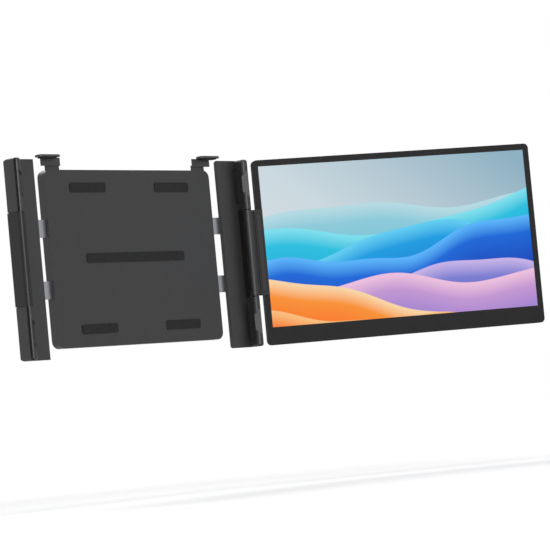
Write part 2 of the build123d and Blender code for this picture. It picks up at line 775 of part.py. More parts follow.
def stand_rubber():
    """Rubber strip along the leg's lower edge."""
    half = stand_width / 2 - stand_foot_inset
    low = stand_top - stand_length - stand_foot
    depth = stand_thickness / 2 - stand_foot_shy
    foot = block(-half, half, stand_axis_y - depth, stand_axis_y + depth, low, low + stand_foot)
    return fillet(foot.edges().filter_by(Axis.Y).sort_by(Axis.Z)[:2], stand_foot_corner)


def stand_pin():
    """Pin through the leg, held in the recess's side walls."""
    half = recess_half + stand_rim - stand_pin_end
    return rod_x(stand_axis_y, stand_top, -half, half, stand_pin_radius)


# ---------------------------------------------------------------- hinge
leaf_screw_heights = (-leaf_screw_pitch, 0.0, leaf_screw_pitch)


def cover_outline(height, width, y0, y1):
    """A stadium plate on the leaf."""
    return slab(cover_centre - width / 2, cover_centre + width / 2, -height / 2, height / 2, y0, y1,
                nearly_half(width))


def hinge_knuckle():
    """Barrel, web and raised leaf, cast in one."""
    half = barrel_half
    body = post(0, 0, -half, half, bead_radius)
    body += block(web_inner, bead_radius - web_in_barrel, 0, web_back, -half, half)
    body += block(web_inner, web_outer, monitor_front, web_back, -half, half)
    body += block(leaf_inner, leaf_outer, leaf_front, monitor_front, -half, half)
    for side in (1, -1):
        hole = sorted((side * (half - pin_in_knuckle), side * past(half)))
        body -= post(0, 0, *hole, pin_radius + running_clearance)
    body -= cover_outline(cover_height, cover_width, leaf_front, leaf_front + cover_depth)
    for z in leaf_screw_heights:
        body -= screw_hole(cover_centre, z, leaf_front + cover_depth, monitor_front)
    return turned(body)


def leaf_cover():
    """Stadium-shaped cover that hides the leaf's screws."""
    height, width = cover_height - 2 * cover_gap, cover_width - 2 * cover_gap
    return turned(cover_outline(height, width, leaf_front - cover_proud, leaf_front + cover_depth))


def leaf_screws():
    """Flush screws from the leaf into the bracket."""
    top = leaf_front + cover_depth
    return [turned(rod_y(cover_centre, z, top, web_back, screw_radius)) for z in leaf_screw_heights]


def hinge_pin(side):
    """Steel pin fixed in the column; the knuckle turns on it."""
    inner_end = barrel_half - pin_in_knuckle + pin_end_room
    low, high = sorted((side * inner_end, side * (knuckle_half + pin_in_column)))
    return post(axis_x, axis_y, low, high, pin_radius)


def hinge_washers():
    """Thin washers between the knuckle and the column."""
    rings = []
    for side in (1, -1):
        z0, z1 = sorted((side * (barrel_half + washer_play), side * wall_start))
        rings.append(post(axis_x, axis_y, z0, z1, washer_radius) - post(axis_x, axis_y, z0, z1, pin_radius))
    return rings


bracket_screw_spots = [(monitor_out + bracket_screw_out, step * bracket_screw_pitch) for step in (-1, 0, 1)]


def hinge_bracket():
    """Steel bracket: it steps from the leaf's back down behind the panel tray."""
    half = bracket_height / 2
    behind = tray_back
    steel = block(web_outer + bracket_gap, bracket_jog + bracket_sheet, monitor_front, web_back, -half, half)
    steel += block(bracket_jog, bracket_jog + bracket_sheet, monitor_front, behind + bracket_sheet,
                   -half, half)
    steel += block(bracket_jog, bracket_jog + bracket_reach, behind, behind + bracket_sheet, -half, half)
    for z in leaf_screw_heights:
        steel -= screw_hole(cover_centre, z, monitor_front, web_back)
    for x, z in bracket_screw_spots:
        steel -= screw_hole(x, z, behind, behind + bracket_sheet)
    return turned(steel)


def bracket_screws():
    """Screws through the bracket's foot into posts on the rear cover."""
    face = tray_back + bracket_sheet
    return [turned(rod_y(x, z, tray_back, face + bracket_screw_depth, screw_radius))
            for x, z in bracket_screw_spots]


# ---------------------------------------------------------------- monitor case
def monitor_slab(y0, y1, inset=0.0):
    """The monitor's outline, or the same outline inset."""
    radius = max(monitor_corner - inset, smallest_corner)
    return slab(monitor_out + inset, monitor_far - inset, monitor_foot + inset, monitor_top - inset,
                y0, y1, radius)


def front_bezel():
    """Front frame with a lip over the panel's border, open where the bracket comes in."""
    bezel = monitor_slab(monitor_front, case_front)
    bezel = fillet(bezel.faces().sort_by(Axis.Y)[0].edges(), front_edge)
    bezel -= block(screen_left, screen_right, monitor_front, case_front, screen_foot, screen_top)
    x0, x1, z0, z1 = panel_box
    bezel -= block(x0 - fit_play, x1 + fit_play, panel_front, case_front, z0 - fit_play, z1 + fit_play)
    half = bracket_height / 2 + fit_play
    bezel -= block(monitor_out, x0 - fit_play, monitor_front, case_front, -half, half)
    return turned(bezel)


rear_screw_top = monitor_top - rear_screw_below
rear_screw_foot = monitor_foot + rear_screw_above
rear_screw_spots = [(monitor_out + rear_screw_inset, rear_screw_top),
                    (monitor_far - rear_screw_inset, rear_screw_top),
                    (monitor_out + rear_screw_inset, rear_screw_foot),
                    ((monitor_out + monitor_far) / 2, rear_screw_top),
                    (board_outer - board_width - rear_screw_by_board, rear_screw_foot)]
tray_post_spots = [(monitor_out + tray_post_inset, screen_top - tray_post_below),
                   (monitor_far - tray_post_inset, screen_top - tray_post_below),
                   (monitor_out + tray_post_inset, screen_foot + tray_post_above),
                   (monitor_far - tray_post_inset, screen_foot + tray_post_over_board)]
board_post_spots = [(board_outer - board_post_end, board_foot + board_post_side),
                    (board_outer - board_width + board_post_end, board_foot + board_post_side),
                    (board_outer - board_width + board_post_end, board_foot + board_height - board_post_side)]


def rear_cover():
    """Tray-shaped back of the monitor with its posts, ports and button holes."""
    cover = monitor_slab(case_front, monitor_back)
    cover = fillet(cover.faces().sort_by(Axis.Y)[-1].edges(), back_edge)
    cover -= monitor_slab(case_front, case_inside, case_wall)
    for x, z in tray_post_spots:
        cover += rod_y(x, z, tray_back, case_inside, rear_post)
    for x, z in bracket_screw_spots:
        face = tray_back + bracket_sheet
        cover += rod_y(x, z, face, case_inside, rear_post)
        cover -= screw_hole(x, z, face, face + bracket_screw_depth)
    for x, z in board_post_spots:
        cover += rod_y(x, z, board_depth + board_thickness, case_inside, board_post)
    for x, z in rear_screw_spots:
        cover += rod_y(x, z, tray_back, case_inside, rear_post)
        cover -= rod_y(x, z, monitor_back - screw_head, monitor_back, screw_head_radius)
        cover -= screw_hole(x, z, tray_back, monitor_back)
    for z in usb_heights:
        cover -= socket_hole(z, usb_width, usb_height)
    cover -= socket_hole(hdmi_height_at, hdmi_width, hdmi_height)
    for z in button_heights:
        cover -= button_shape(z, fit_play, past(button_stand_out))
    middle = (button_heights[0] + button_heights[-1]) / 2
    reach = (button_heights[-1] - button_heights[0]) / 2 + button_length
    cover += switch_ledge(middle, reach)
    for hole in speaker_holes():
        cover -= hole
    return turned(cover)


def socket_middle():
    """Depth of the middle of the sockets."""
    return (tray_back + case_inside) / 2


def socket_hole(z, width, height):
    """The wall's opening round a socket."""
    plug = RectangleRounded(height + 2 * socket_room, width + 2 * socket_room, nearly_half(height))
    start = past(monitor_far - case_wall, -1)
    place = Pos(start, socket_middle(), z) * Rot(0, 90, 0) * Rot(0, 0, 90)
    return place * extrude(plug, past(monitor_far) - start)


def socket(z, width, height):
    """A metal socket with its tongue; its mouth is level with the case."""
    y = socket_middle()
    mouth = socket_mouth
    shell = RectangleRounded(height, width, nearly_half(height))
    room_height = height - 2 * socket_sheet
    room = RectangleRounded(room_height, width - 2 * socket_sheet, nearly_half(room_height))
    place = Pos(mouth - socket_depth, y, z) * Rot(0, 90, 0) * Rot(0, 0, 90)
    body = place * extrude(shell, socket_depth)
    body -= place * (Pos(0, 0, socket_back) * extrude(room, socket_depth))
    half = width / 2 - socket_tongue_side
    return body + block(mouth - socket_depth, mouth - socket_tongue_sunk, y - socket_tongue / 2,
                        y + socket_tongue / 2, z - half, z + half)


def usb_sockets():
    """Two identical reversible data and power sockets."""
    return [turned(socket(z, usb_width, usb_height)) for z in usb_heights]


def hdmi_socket():
    """One small video socket."""
    return turned(socket(hdmi_height_at, hdmi_width, hdmi_height))


def rear_screws():
    """Screws in the back, through posts to the panel tray."""
    return [turned(screw(x, z, monitor_back - screw_head, tray_back)) for x, z in rear_screw_spots]


def rear_pads():
    """Rubber strips on the monitor's back."""
    x0, x1 = monitor_out + rear_pad_inset, monitor_far - rear_pad_inset
    half = rear_pad_height / 2
    heights = (monitor_foot + rear_pad_from_edge, monitor_top - rear_pad_from_edge)
    back = monitor_back + rear_pad_thickness
    corner = nearly_half(rear_pad_height)
    return [turned(slab(x0, x1, z - half, z + half, monitor_back, back, corner)) for z in heights]


# ---------------------------------------------------------------- panel stack
def lcd_panel():
    """Glass panel with its polariser, under the bezel's lip."""
    x0, x1, z0, z1 = panel_box
    return turned(block(x0, x1, panel_front, panel_back, z0, z1))


def optical_sheets():
    """Diffuser and prism sheets."""
    x0, x1, z0, z1 = panel_box
    return turned(block(x0, x1, panel_back, sheets_back, z0, z1))


def light_guide():
    """Clear plate that spreads the light, short of the strip along its foot."""
    x0, x1, z0, z1 = panel_box
    return turned(block(x0, x1, sheets_back, plate_back, z0 + lamp_strip_height, z1))


def led_strip():
    """Row of lamps along the light guide's lower edge."""
    x0, x1, z0, _ = panel_box
    return turned(block(x0, x1, sheets_back, plate_back, z0, z0 + lamp_strip_height))


def panel_tray():
    """Folded metal tray behind the panel."""
    x0, x1, z0, z1 = panel_box
    tray = block(x0 - tray_rim, x1 + tray_rim, case_front, tray_back, z0 - tray_rim, z1 + tray_rim)
    return turned(tray - block(x0, x1, case_front, plate_back, z0, z1))


# ---------------------------------------------------------------- electronics
def driver_board():
    """Circuit board behind the tray, with a tongue past the sockets."""
    y0, y1 = board_depth, board_depth + board_thickness
    top = board_foot + board_height + board_tongue
    board = block(board_outer - board_width, board_outer, y0, y1, board_foot, top)
    return turned(board)


def board_chips():
    """Scaler chip, power coil, connector and small parts on the board."""
    x, z = board_outer - board_width / 2, board_foot + board_height / 2
    boxes = []
    for name in chip_sizes:
        across, up, width, height = chip_sizes[name]
        boxes.append(block(x + across - width / 2, x + across + width / 2, tray_back + chip_gap, board_depth,
                           z + up - height / 2, z + up + height / 2))
    return [turned(box) for box in boxes]


def speaker_middle():
    """Height of the speakers' middle."""
    return monitor_foot + case_wall + speaker_clear + speaker_height / 2


def speaker_holes():
    """Rows of upright slots in the back, over the speakers."""
    z = speaker_middle()
    holes = []
    for x in speaker_out:
        for index in range(speaker_slots):
            middle = x + (index - (speaker_slots - 1) / 2) * speaker_slot_pitch
            holes.append(block(middle - speaker_slot_width / 2, middle + speaker_slot_width / 2, case_inside,
                               monitor_back, z - speaker_slot_height / 2, z + speaker_slot_height / 2))
    return holes


def speakers():
    """Two thin speakers in the chin, seated on the rear cover."""
    z = speaker_middle()
    boxes = []
    for x in speaker_out:
        boxes.append(turned(block(x - speaker_width / 2, x + speaker_width / 2, case_inside - speaker_depth,
                                  case_inside, z - speaker_height / 2, z + speaker_height / 2)))
    return boxes


def switch_ledge(middle, reach):
    """Ledge inside the case that carries the switch strip."""
    inner = monitor_far - case_wall
    front, back = inner - ledge_inset - ledge_thickness, inner - ledge_inset
    return block(front, back, case_inside - ledge_height, case_inside, middle - reach, middle + reach)


def button_shape(z, play, stand_out):
    """The button's cap, or the hole it slides in."""
    y = case_inside - button_from_back
    inner = monitor_far - case_wall - button_wall_gap
    outer = monitor_far + stand_out
    length, width = button_length / 2 + play, button_width / 2 + play
    return block(inner, outer, y - width, y + width, z - length, z + length)


def button(z):
    """One button: a cap through the case and a collar behind the wall."""
    y = case_inside - button_from_back
    inner = monitor_far - case_wall - button_wall_gap
    half = button_length / 2 + button_collar_over
    collar = block(inner - button_collar, inner, y - button_width / 2, y + button_width / 2,
                   z - half, z + half)
    return turned(button_shape(z, 0, button_stand_out) + collar)


def button_switches():
    """Snap domes between the buttons and the ledge."""
    inner = monitor_far - case_wall
    y = case_inside - button_from_back
    face = inner - button_wall_gap - button_collar - button_travel - button_wall_gap
    domes = []
    for z in button_heights:
        domes.append(turned(block(inner - ledge_inset, face, y - switch_side, y + switch_side,
                                  z - switch_half, z + switch_half)))
    return domes


# ---------------------------------------------------------------- every node
def mirrored(shapes):
    """Left-hand copies."""
    return [mirror(shape, about=Plane.YZ) for shape in shapes]


def nodes():
    """Every sub-part by name."""
    parts = {
        "front_shell": front_shell(),
        "rear_shell": rear_shell(),
        "housing_screws": housing_screws(),
        "lid_pads": lid_pads(),
        "rail_guides": rail_guides(),
        "hook_guides": hook_guides(),
        "pinion_axle": pinion_axle(),
        "kickstand_pin": stand_pin(),
        "pinion": pinion(),
        "right_column": column(True),
        "right_middle_cover": right_middle_cover(),
        "right_grip_pads": grip_pads(),
        "right_rails": rails(),
        "right_rack": rack(),
        "right_arm_screws": column_screws(),
        "upper_hinge_pin": hinge_pin(1),
        "lower_hinge_pin": hinge_pin(-1),
        "hinge_washers": hinge_washers(),
        "left_column": mirror(column(False), about=Plane.YZ),
        "left_middle_cover": left_middle_cover(),
        "left_grip_pads": mirrored(grip_pads()),
        "left_rails": mirrored(rails()),
        "left_rack": Rot(0, 180, 0) * rack(),
        "left_arm_screws": mirrored(column_screws()),
        "right_hook_stem": hook(),
        "right_hook_cap": hook_cap(),
        "right_hook_pad": hook_pad(),
        "left_hook_stem": mirror(hook(), about=Plane.YZ),
        "left_hook_cap": mirror(hook_cap(), about=Plane.YZ),
        "left_hook_pad": mirror(hook_pad(), about=Plane.YZ),
        "kickstand_leg": stand_leg(),
        "kickstand_foot": stand_rubber(),
        "hinge_knuckle": hinge_knuckle(),
        "leaf_cover": leaf_cover(),
        "leaf_screws": leaf_screws(),
        "hinge_bracket": hinge_bracket(),
        "bracket_screws": bracket_screws(),
        "front_bezel": front_bezel(),
        "rear_cover": rear_cover(),
        "rear_screws": rear_screws(),
        "rear_pads": rear_pads(),
        "lcd_panel": lcd_panel(),
        "optical_sheets": optical_sheets(),
        "light_guide": light_guide(),
        "led_strip": led_strip(),
        "panel_tray": panel_tray(),
        "driver_board": driver_board(),
        "board_chips": board_chips(),
        "usb_sockets": usb_sockets(),
        "hdmi_socket": hdmi_socket(),
        "speakers": speakers(),
        "button_switches": button_switches(),
    }
    for name, z in zip(("power_button", "down_button", "up_button"), button_heights):
        parts[name] = button(z)
    return parts


def export_all():
    """Writes one STEP file for each node."""
    os.makedirs("parts", exist_ok=True)
    for name, shape in nodes().items():
        whole = Compound(children=shape) if isinstance(shape, list) else shape
        export_step(whole, f"parts/{name}.step")


export_all()
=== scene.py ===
"""Looks of the laptop screen extender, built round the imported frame. Metres."""
import json
import math
import bpy
from mathutils import Matrix, Vector

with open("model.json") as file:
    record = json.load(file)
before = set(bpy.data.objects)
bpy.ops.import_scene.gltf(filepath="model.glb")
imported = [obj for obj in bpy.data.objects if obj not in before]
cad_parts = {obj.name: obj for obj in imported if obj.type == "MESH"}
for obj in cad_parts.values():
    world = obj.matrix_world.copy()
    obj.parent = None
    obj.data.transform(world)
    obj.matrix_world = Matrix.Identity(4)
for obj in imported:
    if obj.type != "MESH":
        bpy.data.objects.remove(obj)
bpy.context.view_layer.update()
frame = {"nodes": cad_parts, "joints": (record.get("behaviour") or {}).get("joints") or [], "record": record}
nodes = frame["nodes"]

# ---- the hinge's axis, and the direction from it straight out along the monitor, at rest ----
hinge = next(joint for joint in frame["joints"] if joint["name"] == "monitor_hinge")
hinge_at = Vector(hinge["pos_m"])
rest_turn = math.pi - math.radians(hinge["range_deg"][1])
out_dir = Vector((math.cos(rest_turn), -math.sin(rest_turn), 0.0))

# ---- camera: where it stands and how it is turned ----
CAMERA_AT = Vector((-1.9656, -2.0072, -0.1823))
CAMERA_RIGHT = Vector((0.6794, -0.72781, -0.09328))
CAMERA_UP = Vector((0.02432, -0.10473, 0.9942))
FOCAL_PIXELS = 2729.6
IMAGE_PIXELS = 550
SENSOR_MM = 36.0
CLIP_START, CLIP_END = 0.05, 60.0

# ---- studio ----
FLOOR_Z = -0.25
FLOOR_HALF = 20.0
GLOW_REACH = (0.6, 3.5)        # from the floor's middle
GLOW_STRENGTH = (0.08, 0.85)   # where the lamps reach the floor, and past them
ROOM_STRENGTH = (0.06, 0.7)    # at the horizon and overhead
LAMP_AIM = Vector((0.1, 0.0, 0.0))
LAMPS = [                      # name, place, size across and up, watts
    ("key", (-1.5, -2.6, 0.6), (0.9, 2.2), 62.0),
    ("top", (0.2, -0.6, 3.0), (1.8, 1.8), 30.0),
    ("behind", (0.5, 2.3, 2.7), (1.6, 1.6), 40.0),
]

# ---- materials ----
NOISE_RANGE = (0.3, 0.7)       # holds nearly all of a noise's values
MOTTLING = 0.05                # how far a plastic's colour varies, as a share
GRAIN_DEPTH = 0.12             # of moulded plastic, in grain widths
BRUSH_LINES = (1.0, 60.0, 60.0)  # stretches a noise into fine lines along X

# ---- the leaf that carries the monitor, the cover on it, and painted shade beside its barrel and round its cover ----
WEB_FROM = 0.0046              # from the hinge's axis outwards, just past its barrel, where the painted shade of the recess begins
LEAF_FROM = 0.0084             # from the hinge's axis outwards
LEAF_BLEND = 0.0003
GROOVE_SHADOW_RIM = 0.0003            # painted shadow on the cover, inside its outline
GROOVE_SHADOW_WIDTH = 0.0008          # painted shadow round the cover, past its outline
GROOVE_SHADOW_BLEND = 0.0002
# The web's colour is painted shade of the recess between the barrel and the leaf; the groove colour is a
# painted shadow line round the cover.
WEB_SHADE_CODE, LEAF_CODE, COVER_CODE, GROOVE_SHADOW_CODE = "070707", "060606", "181818", "020202"
LEAF_ROUGHNESS = 0.66

# ---- the picture on the screen, in shares of its width and height ----
SKY = [                        # from the lower left to the upper right
    (0.05, "dfe6ea"), (0.45, "cfdde4"), (0.95, "8fb4c6"),
]
SKY_ACROSS, SKY_UP = 0.55, 0.45  # how much each direction counts in it
# Each band: crest height, its slope, two waves (size, count, phase), then the colours at its
# crest, in its body and at its foot.
BANDS = [
    (0.66, 0.10, (0.050, 0.9, 0.3), (0.012, 2.3, 1.0), "b9dfe8", "8fcfdf", "6fc3d8"),
    (0.55, 0.16, (0.070, 0.8, 2.1), (0.015, 2.0, 0.2), "7fe3f2", "21c3e4", "0aa9dc"),
    (0.50, 0.02, (0.090, 1.0, 4.0), (0.012, 2.6, 2.2), "5fd0f7", "0a9fe6", "0578cf"),
    (0.36, 0.20, (0.060, 1.2, 1.2), (0.016, 2.9, 0.7), "58b6ff", "0a68dc", "0338b4"),
    (0.33, -0.06, (0.075, 0.9, 3.3), (0.010, 3.1, 1.9), "c9b5ec", "7d7fd6", "2f3fc0"),
    (0.20, 0.10, (0.060, 1.1, 5.2), (0.012, 2.4, 0.4), "f2c4e2", "c79ad8", "7f6fd2"),
    (0.30, -0.34, (0.040, 1.0, 0.6), (0.012, 2.7, 2.6), "ffd9a8", "ff9430", "ff5d0c"),
    (0.12, -0.16, (0.030, 1.3, 2.4), (0.008, 3.3, 0.9), "ffc27e", "ff7a1c", "ef4a06"),
]
BAND_DEPTH = 0.34              # from a crest down to the colour of the foot
RIM_END, BODY_AT = 0.035, 0.30  # in shares of that depth
CREST_EDGE = 0.0035            # softness of a crest's edge
SCREEN_DARK = (0.004, 0.004, 0.005, 1.0)
SCREEN_GLOW = 0.93             # 1 shows the picture's colours as they are written


def place_camera():
    """The photo's camera."""
    right = CAMERA_RIGHT.normalized()
    back = right.cross(CAMERA_UP).normalized()
    up = back.cross(right)
    turn = Matrix((right, up, back)).transposed().to_4x4()
    data = bpy.data.cameras.new("camera")
    data.sensor_width = SENSOR_MM
    data.lens = FOCAL_PIXELS / IMAGE_PIXELS * SENSOR_MM
    data.clip_start = CLIP_START
    data.clip_end = CLIP_END
    camera = bpy.data.objects.new("camera", data)
    bpy.context.scene.collection.objects.link(camera)
    camera.matrix_world = Matrix.Translation(CAMERA_AT) @ turn
    bpy.context.scene.camera = camera


# ---------------------------------------------------------------- colours and nodes
def linear(code):
    """Scene-linear colour of a six-digit screen colour."""
    def one(value):
        value /= 255.0
        return value / 12.92 if value <= 0.04045 else ((value + 0.055) / 1.055) ** 2.4
    return tuple(one(int(code[i:i + 2], 16)) for i in (0, 2, 4)) + (1.0,)


def toned(code, factor, dust=0.0):
    """The same colour, lighter or darker by a factor and paler by some dust."""
    return tuple(c * factor + dust for c in linear(code)[:3]) + (1.0,)


class Tree:
    """A short way to write a material's nodes; place is the point on the object, in metres."""

    def __init__(self, name):
        self.material = bpy.data.materials.new(name)
        self.material.use_nodes = True
        self.nodes = self.material.node_tree.nodes
        self.links = self.material.node_tree.links
        self.shader = self.nodes["Principled BSDF"]
        self.output = self.nodes["Material Output"]
        self.place = self.new("ShaderNodeTexCoord").outputs["Object"]

    def new(self, kind, **settings):
        node = self.nodes.new(kind)
        for key, value in settings.items():
            setattr(node, key, value)
        return node

    def put(self, socket, value):
        """Links a socket to another one, or sets its number or colour."""
        if hasattr(value, "links"):
            self.links.new(value, socket)
        else:
            socket.default_value = value

    def finish(self, name, value):
        """Puts a value on one of the shader's own sockets."""
        self.put(self.shader.inputs[name], value)

    def gloss(self, noise, low, high):
        """Roughness that follows a noise."""
        self.finish("Roughness", self.span(noise, *NOISE_RANGE, low, high))

    def math(self, operation, a, b=0.0):
        """One calculation with a and b; ABSOLUTE, SINE and SQRT read a alone."""
        node = self.new("ShaderNodeMath", operation=operation)
        self.put(node.inputs[0], a)
        self.put(node.inputs[1], b)
        return node.outputs[0]

    def along(self):
        """Distance of the place along the monitor at rest."""
        node = self.new("ShaderNodeVectorMath", operation="DOT_PRODUCT")
        self.put(node.inputs[0], self.place)
        node.inputs[1].default_value = out_dir
        return node.outputs["Value"]

    def height(self):
        """Height of the place."""
        node = self.new("ShaderNodeSeparateXYZ")
        self.put(node.inputs[0], self.place)
        return node.outputs["Z"]

    def mix(self, factor, a, b):
        """Colour a where the factor is 0, and b where it is 1."""
        node = self.new("ShaderNodeMix", data_type="RGBA")
        colour_a, colour_b, mixed = node.inputs[6], node.inputs[7], node.outputs[2]
        self.put(node.inputs[0], factor)
        self.put(colour_a, a)
        self.put(colour_b, b)
        return mixed

    def ramp(self, factor, *stops):
        """A colour that runs through stops of (position, colour)."""
        node = self.new("ShaderNodeValToRGB")
        elements = node.color_ramp.elements
        while len(elements) < len(stops):
            elements.new(0.5)
        for element, (position, colour) in zip(elements, stops):
            element.position = position
            element.color = colour
        self.put(node.inputs[0], factor)
        return node.outputs[0]

    def span(self, value, low, high, to_low=0.0, to_high=1.0):
        """Takes low to high over to to_low to to_high, and holds still past both ends."""
        node = self.new("ShaderNodeMapRange", clamp=True)
        for socket, number in zip(node.inputs[:5], (value, low, high, to_low, to_high)):
            self.put(socket, number)
        return node.outputs[0]

    def noise(self, scale, detail, vector=None, roughness=0.5):
        """Noise with about that many features to the metre."""
        node = self.new("ShaderNodeTexNoise")
        self.put(node.inputs["Vector"], vector if vector is not None else self.place)
        node.inputs["Scale"].default_value = scale
        node.inputs["Detail"].default_value = detail
        node.inputs["Roughness"].default_value = roughness
        return node.outputs["Fac"]

    def stretch(self, scale):
        """The place, scaled along each axis."""
        node = self.new("ShaderNodeMapping")
        self.put(node.inputs["Vector"], self.place)
        node.inputs["Scale"].default_value = scale
        return node.outputs[0]

    def bump(self, height, strength, distance):
        """Relief on the surface, distance metres deep."""
        node = self.new("ShaderNodeBump")
        node.inputs["Strength"].default_value = strength
        node.inputs["Distance"].default_value = distance
        self.put(node.inputs["Height"], height)
        self.finish("Normal", node.outputs[0])


def reach(node):
    """A node's lowest and highest (distance along the monitor, height), from its own mesh."""
    mesh = nodes[node].data
    along = [vertex.co.dot(out_dir) for vertex in mesh.vertices]
    heights = [vertex.co.z for vertex in mesh.vertices]
    return (min(along), min(heights)), (max(along), max(heights))


# ---------------------------------------------------------------- plastics and rubber
def mottled(tree, code):
    """A plastic's colour, a little uneven."""
    darker = toned(code, 1 - MOTTLING)
    lighter = toned(code, 1 + MOTTLING)
    return tree.ramp(tree.noise(60.0, 4.0), (0.35, darker), (0.65, lighter))


def past_cover(tree):
    """Distance past the outline of the leaf's stadium-shaped cover, less than 0 on the cover."""
    (near, low), (far, high) = reach("leaf_cover")
    radius = (far - near) / 2
    across = tree.math("SUBTRACT", tree.along(), (near + far) / 2)
    from_middle = tree.math("ABSOLUTE", tree.math("SUBTRACT", tree.height(), (low + high) / 2))
    half_straight = (high - low) / 2 - radius
    past_straight = tree.math("MAXIMUM", tree.math("SUBTRACT", from_middle, half_straight))
    squares = [tree.math("POWER", side, 2.0) for side in (across, past_straight)]
    return tree.math("SUBTRACT", tree.math("SQRT", tree.math("ADD", *squares)), radius)


def leaf_finish(tree, colour, gloss, roughness):
    """Colour and roughness, changed on the web beside the hinge's barrel, leaf and cover, with painted shade
    on the web and a painted shadow line round the cover.
    """
    out = tree.math("SUBTRACT", tree.along(), hinge_at.dot(out_dir))
    past_barrel = tree.span(out, WEB_FROM, WEB_FROM + LEAF_BLEND)
    on_leaf = tree.span(out, LEAF_FROM, LEAF_FROM + LEAF_BLEND)
    # Painted shade: the web beside the barrel is darkened for the shade of the recess between the barrel and
    # the leaf.
    colour = tree.mix(past_barrel, colour, mottled(tree, WEB_SHADE_CODE))
    colour = tree.mix(on_leaf, colour, mottled(tree, LEAF_CODE))
    # Painted shadow: a dark line on the cover's edge and round its outline, for the shade in and beside the
    # groove.
    outside = past_cover(tree)
    in_groove_shadow = tree.span(outside, -GROOVE_SHADOW_RIM, GROOVE_SHADOW_BLEND - GROOVE_SHADOW_RIM)
    past_groove_shadow = tree.span(outside, GROOVE_SHADOW_WIDTH - GROOVE_SHADOW_BLEND, GROOVE_SHADOW_WIDTH)
    cover = tree.mix(in_groove_shadow, mottled(tree, COVER_CODE), linear(GROOVE_SHADOW_CODE))
    colour = tree.mix(past_groove_shadow, cover, colour)
    rougher = tree.math("MULTIPLY", past_barrel, LEAF_ROUGHNESS - roughness)
    return colour, tree.math("ADD", gloss, rougher)


def moulded(name, code, roughness, grain=0.00035, relief=0.35, specular=0.5, has_leaf=False):
    """Moulded plastic: spark-eroded grain, faint mottling and slightly uneven gloss; with a leaf, also the
    leaf's tones and its painted shade.
    """
    tree = Tree(name)
    colour = mottled(tree, code)
    fine = tree.noise(1.0 / grain, 3.0, roughness=0.6)
    gloss = tree.span(fine, *NOISE_RANGE, roughness - 0.05, roughness + 0.07)
    if has_leaf:
        colour, gloss = leaf_finish(tree, colour, gloss, roughness)
    tree.finish("Base Color", colour)
    tree.finish("Roughness", gloss)
    tree.finish("Specular IOR Level", specular)
    tree.bump(fine, relief, grain * GRAIN_DEPTH)
    return tree.material


def rubber(name, code):
    """Soft rubber: very matt, a slightly pitted surface and pale dust in it."""
    tree = Tree(name)
    dust = tree.noise(240.0, 5.0, roughness=0.65)
    dusty = toned(code, 1.5, dust=0.004)
    tree.finish("Base Color", tree.ramp(dust, (0.45, linear(code)), (0.8, dusty)))
    pits = tree.noise(1800.0, 2.0)
    tree.gloss(pits, 0.72, 0.88)
    tree.finish("Specular IOR Level", 0.25)
    tree.bump(pits, 0.4, 0.00006)
    return tree.material


def clear_sheet(name, code):
    """Sheets and light guide inside the panel: milky, softly glossy."""
    tree = Tree(name)
    dots = tree.noise(900.0, 2.0)
    tree.finish("Base Color", tree.ramp(dots, (0.4, toned(code, 0.93)), (0.6, linear(code))))
    tree.gloss(dots, 0.15, 0.3)
    return tree.material


# ---------------------------------------------------------------- metals
def brushed(name, code, roughness):
    """Rolled or brushed metal: fine lines along one direction."""
    tree = Tree(name)
    lines = tree.noise(120.0, 3.0, vector=tree.stretch(BRUSH_LINES))
    tree.finish("Base Color", tree.ramp(lines, (0.3, toned(code, 0.8)), (0.7, linear(code))))
    tree.finish("Metallic", 1.0)
    tree.gloss(lines, roughness + 0.1, roughness - 0.04)
    tree.bump(lines, 0.2, 0.00002)
    return tree.material


def blackened(name):
    """Blackened steel screws: dark, semi-gloss, lightly rubbed."""
    tree = Tree(name)
    rub = tree.noise(700.0, 4.0)
    rubbed = tree.ramp(rub, (0.4, linear("1c1c1e")), (0.75, linear("4a4a4d")))
    tree.finish("Base Color", rubbed)
    tree.finish("Metallic", 0.7)
    tree.gloss(rub, 0.32, 0.48)
    tree.bump(rub, 0.2, 0.00003)
    return tree.material


def powder_coat(name, code):
    """Black powder coat on sheet steel: a faint orange peel with a soft gloss."""
    tree = Tree(name)
    peel = tree.noise(1400.0, 2.0)
    tree.finish("Base Color", tree.ramp(peel, (0.3, linear(code)), (0.75, toned(code, 1.25))))
    tree.gloss(peel, 0.38, 0.5)
    tree.bump(peel, 0.25, 0.00005)
    return tree.material


# ---------------------------------------------------------------- circuit board and screen
def circuit(name):
    """Solder mask with faint copper tracks below it."""
    tree = Tree(name)
    tracks = tree.new("ShaderNodeTexBrick", offset=0.37, squash=0.6)
    tree.put(tracks.inputs["Vector"], tree.place)
    tracks.inputs["Scale"].default_value = 160.0
    tracks.inputs["Color1"].default_value = linear("0d4a2c")
    tracks.inputs["Color2"].default_value = linear("0f5433")
    tracks.inputs["Mortar"].default_value = linear("2f7a4a")
    tree.finish("Base Color", tracks.outputs["Color"])
    tree.finish("Roughness", 0.3)
    tree.bump(tracks.outputs["Fac"], 0.3, 0.00004)
    return tree.material


def wave(tree, across, size, count, phase):
    """A sine wave across the picture."""
    angle = tree.math("ADD", tree.math("MULTIPLY", across, 2 * math.pi * count), phase)
    return tree.math("MULTIPLY", tree.math("SINE", angle), size)


